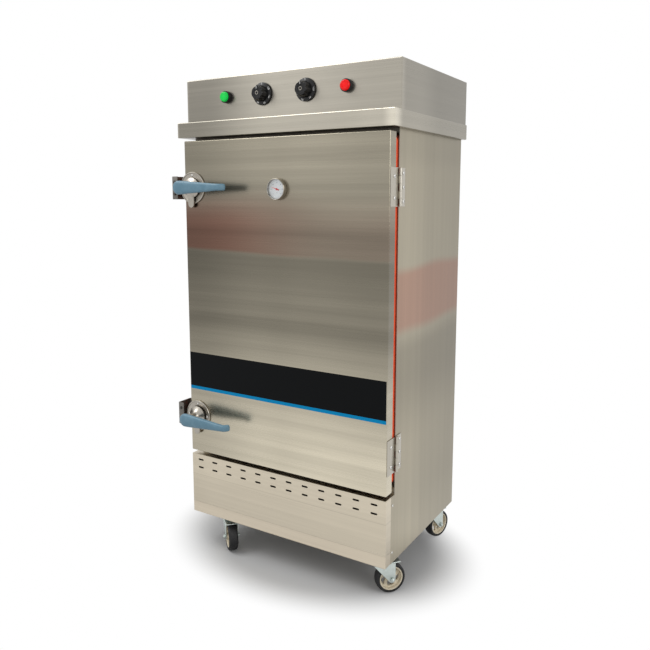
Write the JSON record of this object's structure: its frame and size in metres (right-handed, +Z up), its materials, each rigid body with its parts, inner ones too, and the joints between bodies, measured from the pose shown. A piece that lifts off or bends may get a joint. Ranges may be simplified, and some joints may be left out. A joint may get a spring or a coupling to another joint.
{
  "type": "rice steamer cabinet",
  "caption": "Upright stainless steamer cabinet on swivel casters, with a latched insulated door, tray racks, water tank, dial thermometer and a control box on top.",
  "frame": {"origin": "on the floor under the middle of the object's bounding box", "axes": "+Z up, +X to the right as seen from the door's side, +Y from the door to the back"},
  "size_m": [0.758, 0.6054, 1.484],
  "materials": {
    "brushed_steel": "vertical brushed stainless sheet",
    "dull_steel": "plain mill finish",
    "polished_steel": "polished",
    "zinc_plate": "zinc plated",
    "brass": "turned brass",
    "blue_grip": "blue plastic",
    "orange_silicone": "orange silicone rubber",
    "mineral_wool": "mineral wool blanket",
    "black_plastic": "black plastic",
    "green_lens": "translucent green",
    "red_lens": "translucent red",
    "dial_white": "printed white dial",
    "needle_red": "red paint",
    "clear_glass": "clear flat glass",
    "cream_plastic": "cream plastic",
    "tyre_rubber": "black rubber"
  },
  "bodies": {
    "cabinet": {"left_side_panel": "brushed_steel", "right_side_panel": "brushed_steel", "front_frame": "brushed_steel", "trim_band": "brushed_steel", "control_housing": "brushed_steel", "vent_skirt": "brushed_steel", "base_rail": "brushed_steel", "back_panel": "dull_steel", "base_pan": "dull_steel", "control_chassis": "dull_steel", "heating_element": "dull_steel", "upper_hinge_fixed_leaf": "dull_steel", "lower_hinge_fixed_leaf": "dull_steel", "upper_keeper": "dull_steel", "lower_keeper": "dull_steel", "chamber_liner": "polished_steel", "left_tray_rack": "polished_steel", "right_tray_rack": "polished_steel", "water_tank": "polished_steel", "front_left_caster_plate": "zinc_plate", "front_right_caster_plate": "zinc_plate", "rear_left_caster_plate": "zinc_plate", "rear_right_caster_plate": "zinc_plate", "water_inlet": "brass", "drain_pipe": "brass", "insulation": "mineral_wool", "green_lamp_bezel": "black_plastic", "red_lamp_bezel": "black_plastic", "cable_gland": "black_plastic", "green_lamp_lens": "green_lens", "red_lamp_lens": "red_lens"},
    "door": {"door_skin": "brushed_steel", "door_liner": "dull_steel", "door_gasket": "orange_silicone", "upper_hinge_door_leaf": "dull_steel", "lower_hinge_door_leaf": "dull_steel", "upper_latch_flange": "polished_steel", "lower_latch_flange": "polished_steel", "thermometer_case": "polished_steel", "thermometer_dial": "dial_white", "thermometer_glass": "clear_glass"},
    "thermometer_needle": {"thermometer_needle": "needle_red"},
    "timer_knob": {"timer_knob": "black_plastic"},
    "thermostat_knob": {"thermostat_knob": "black_plastic"},
    "lower_latch": {"lower_latch_arm": "polished_steel", "lower_latch_grip": "blue_grip"},
    "upper_latch": {"upper_latch_arm": "polished_steel", "upper_latch_grip": "blue_grip"},
    "front_left_fork": {"front_left_caster_fork": "zinc_plate"},
    "front_left_wheel": {"front_left_caster_hub": "cream_plastic", "front_left_caster_tyre": "tyre_rubber"},
    "front_right_fork": {"front_right_caster_fork": "zinc_plate"},
    "front_right_wheel": {"front_right_caster_hub": "cream_plastic", "front_right_caster_tyre": "tyre_rubber"},
    "rear_left_fork": {"rear_left_caster_fork": "zinc_plate"},
    "rear_left_wheel": {"rear_left_caster_hub": "cream_plastic", "rear_left_caster_tyre": "tyre_rubber"},
    "rear_right_fork": {"rear_right_caster_fork": "zinc_plate"},
    "rear_right_wheel": {"rear_right_caster_hub": "cream_plastic", "rear_right_caster_tyre": "tyre_rubber"}
  },
  "joints": [
    {"name": "door_hinge", "type": "hinge", "parent": "cabinet", "child": "door", "pos_m": [0.367, -0.17925, 0.8], "axis": [0, 0, 1], "range_deg": [0, 180]},
    {"name": "lower_latch_turn", "type": "hinge", "parent": "door", "child": "lower_latch", "pos_m": [-0.306, -0.23175, 0.44], "axis": [0, 1, 0], "range_deg": [0, 90]},
    {"name": "upper_latch_turn", "type": "hinge", "parent": "door", "child": "upper_latch", "pos_m": [-0.306, -0.23175, 1.159], "axis": [0, 1, 0], "range_deg": [0, 90]},
    {"name": "thermometer_needle_turn", "type": "hinge", "parent": "door", "child": "thermometer_needle", "pos_m": [0.012, -0.23175, 1.153], "axis": [0, 1, 0], "range_deg": [-58, 200]},
    {"name": "timer_turn", "type": "hinge", "parent": "cabinet", "child": "timer_knob", "pos_m": [-0.062, -0.19725, 1.424], "axis": [0, 1, 0], "range_deg": [0, 300]},
    {"name": "thermostat_turn", "type": "hinge", "parent": "cabinet", "child": "thermostat_knob", "pos_m": [0.086, -0.19725, 1.424], "axis": [0, 1, 0], "range_deg": [0, 270]},
    {"name": "front_left_swivel", "type": "hinge", "parent": "cabinet", "child": "front_left_fork", "pos_m": [-0.232, -0.17925, 0], "axis": [0, 0, 1], "continuous": true},
    {"name": "front_left_roll", "type": "hinge", "parent": "front_left_fork", "child": "front_left_wheel", "pos_m": [-0.20483, -0.20287, 0.0445], "axis": [0.6561, 0.7547, 0], "continuous": true},
    {"name": "front_right_swivel", "type": "hinge", "parent": "cabinet", "child": "front_right_fork", "pos_m": [0.314, -0.17925, 0], "axis": [0, 0, 1], "continuous": true},
    {"name": "front_right_roll", "type": "hinge", "parent": "front_right_fork", "child": "front_right_wheel", "pos_m": [0.33714, -0.15167, 0.0445], "axis": [-0.766, 0.6428, 0], "continuous": true},
    {"name": "rear_left_swivel", "type": "hinge", "parent": "cabinet", "child": "rear_left_fork", "pos_m": [-0.232, 0.19475, 0], "axis": [0, 0, 1], "continuous": true},
    {"name": "rear_left_roll", "type": "hinge", "parent": "rear_left_fork", "child": "rear_left_wheel", "pos_m": [-0.26583, 0.18244, 0.0445], "axis": [0.342, -0.9397, 0], "continuous": true},
    {"name": "rear_right_swivel", "type": "hinge", "parent": "cabinet", "child": "rear_right_fork", "pos_m": [0.314, 0.19475, 0], "axis": [0, 0, 1], "continuous": true},
    {"name": "rear_right_roll", "type": "hinge", "parent": "rear_right_fork", "child": "rear_right_wheel", "pos_m": [0.32572, 0.22879, 0.0445], "axis": [-0.9455, 0.3256, 0], "continuous": true}
  ]
}
